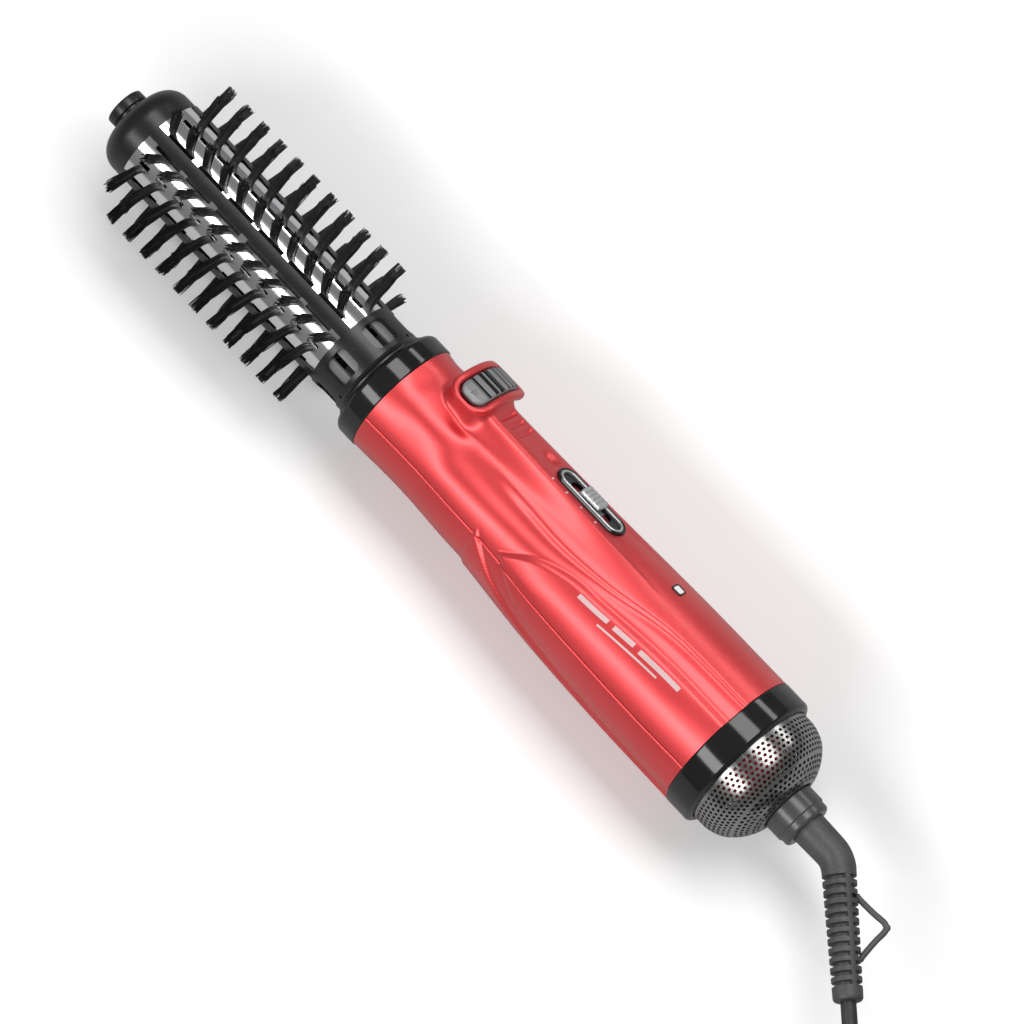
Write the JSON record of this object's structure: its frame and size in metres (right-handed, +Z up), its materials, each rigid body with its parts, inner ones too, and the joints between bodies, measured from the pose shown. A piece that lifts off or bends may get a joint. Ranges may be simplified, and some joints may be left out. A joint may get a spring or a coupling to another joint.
{
  "type": "hot air brush",
  "caption": "Hand-held rotating hot air brush: waisted handle with fan and heater, pull-off bristle barrel, direction rocker, slide switch and swivel cord.",
  "frame": {"origin": "centre of the brush's box on the surface it lies on, without the cord", "axes": "+X along the brush axis from the tip to the cord end, +Z up; the controls lean 47 degrees from +Z towards +Y"},
  "size_m": [0.4976, 0.1025, 0.0593],
  "materials": {
    "red_lacquer": "metallic lacquer",
    "gloss_black": "gloss",
    "satin_black": "satin",
    "barrel_chrome": "mirror",
    "nylon_black": "satin",
    "switch_grey": "satin",
    "silver_plastic": "satin",
    "spigot_grey": "satin",
    "grille_steel": "satin",
    "inner_red": "gloss",
    "relief_rubber": "matte",
    "cord_rubber": "matte",
    "tie_black": "matte",
    "plug_black": "satin",
    "pin_nickel": "polished",
    "steel": "satin",
    "gear_nylon": "satin",
    "inner_white": "matte",
    "board": "satin",
    "mica": "matte",
    "heating_wire": "dull",
    "lamp": "clear"
  },
  "bodies": {
    "handle": {"top_shell": "red_lacquer", "bottom_shell": "red_lacquer", "shell_screws": "steel", "circuit_board": "board", "front_ring": "gloss_black", "front_bush": "inner_white", "rear_ring": "gloss_black", "inlet_grille": "grille_steel", "inlet_cone": "inner_red", "cord_gland": "switch_grey", "rocker_frame": "red_lacquer", "rocker_pivot_pin": "steel", "rocker_switch": "satin_black", "slide_bezel": "gloss_black", "slide_switch": "satin_black", "lamp_lens": "lamp", "gear_case": "inner_white", "drive_motor": "steel", "air_duct": "mica", "heater_frame": "mica", "heater_coil": "heating_wire", "thermostat": "satin_black", "fan_shroud": "satin_black", "fan_motor": "steel"},
    "rocker": {"rocker_button": "switch_grey"},
    "slider": {"slide_knob": "silver_plastic"},
    "fan": {"fan_impeller": "inner_white"},
    "motor": {"sun_gear": "steel", "motor_shaft": "steel"},
    "planet_1": {"planet_gear_1": "gear_nylon"},
    "planet_2": {"planet_gear_2": "gear_nylon"},
    "planet_3": {"planet_gear_3": "gear_nylon"},
    "drive": {"planet_carrier": "gear_nylon", "drive_shaft": "steel", "drive_spigot": "spigot_grey"},
    "brush_head": {"head_barrel": "barrel_chrome", "head_strips": "satin_black", "head_cap": "satin_black", "head_collar": "satin_black", "head_tie_rod": "steel", "bristle_row_01": "nylon_black", "bristle_row_02": "nylon_black", "bristle_row_03": "nylon_black", "bristle_row_04": "nylon_black", "bristle_row_05": "nylon_black", "bristle_row_06": "nylon_black", "bristle_row_07": "nylon_black", "bristle_row_08": "nylon_black", "bristle_row_09": "nylon_black", "bristle_row_10": "nylon_black"},
    "tip": {"tip_knob": "satin_black"},
    "cord": {"swivel_relief": "relief_rubber", "hanging_loop": "relief_rubber", "cord_tube": "cord_rubber", "cord_coil": "cord_rubber", "cord_ties": "tie_black", "plug_lead": "cord_rubber", "plug_body": "plug_black", "plug_pins": "pin_nickel"}
  },
  "joints": [
    {"name": "brush_spin", "type": "hinge", "parent": "handle", "child": "drive", "pos_m": [0, 0, 0.02964], "axis": [1, 0, 0], "continuous": true},
    {"name": "head_release", "type": "slide", "parent": "drive", "child": "brush_head", "axis": [-1, 0, 0], "range_m": [0, 0.03]},
    {"name": "tip_knob_spin", "type": "hinge", "parent": "brush_head", "child": "tip", "pos_m": [0, 0, 0.02964], "axis": [1, 0, 0], "continuous": true},
    {"name": "motor_spin", "type": "hinge", "parent": "handle", "child": "motor", "pos_m": [0, 0, 0.02964], "axis": [1, 0, 0], "continuous": true},
    {"name": "rocker_tilt", "type": "hinge", "parent": "handle", "child": "rocker", "pos_m": [-0.0087, 0.01997, 0.04826], "axis": [1, 0, 0], "range_deg": [-6, 6], "stiffness_Nm_per_rad": 0.05},
    {"name": "slide_travel", "type": "slide", "parent": "handle", "child": "slider", "axis": [1, 0, 0], "range_m": [-0.005, 0.005]},
    {"name": "fan_spin", "type": "hinge", "parent": "handle", "child": "fan", "pos_m": [0, 0, 0.02964], "axis": [1, 0, 0], "continuous": true},
    {"name": "cord_swivel", "type": "hinge", "parent": "handle", "child": "cord", "pos_m": [0, 0, 0.02964], "axis": [1, 0, 0], "continuous": true},
    {"name": "planet_1_spin", "type": "hinge", "parent": "drive", "child": "planet_1", "pos_m": [-0.0377, 0.00384, 0.03322], "axis": [1, 0, 0], "continuous": true},
    {"name": "planet_2_spin", "type": "hinge", "parent": "drive", "child": "planet_2", "pos_m": [-0.0377, -0.00502, 0.03117], "axis": [1, 0, 0], "continuous": true},
    {"name": "planet_3_spin", "type": "hinge", "parent": "drive", "child": "planet_3", "pos_m": [-0.0377, 0.00118, 0.02452], "axis": [1, 0, 0], "continuous": true}
  ],
  "couplings": [
    {"joint": "motor_spin", "follows": "brush_spin", "ratio": 5},
    {"joint": "planet_1_spin", "follows": "brush_spin", "ratio": -2.6667},
    {"joint": "planet_2_spin", "follows": "brush_spin", "ratio": -2.6667},
    {"joint": "planet_3_spin", "follows": "brush_spin", "ratio": -2.6667}
  ]
}
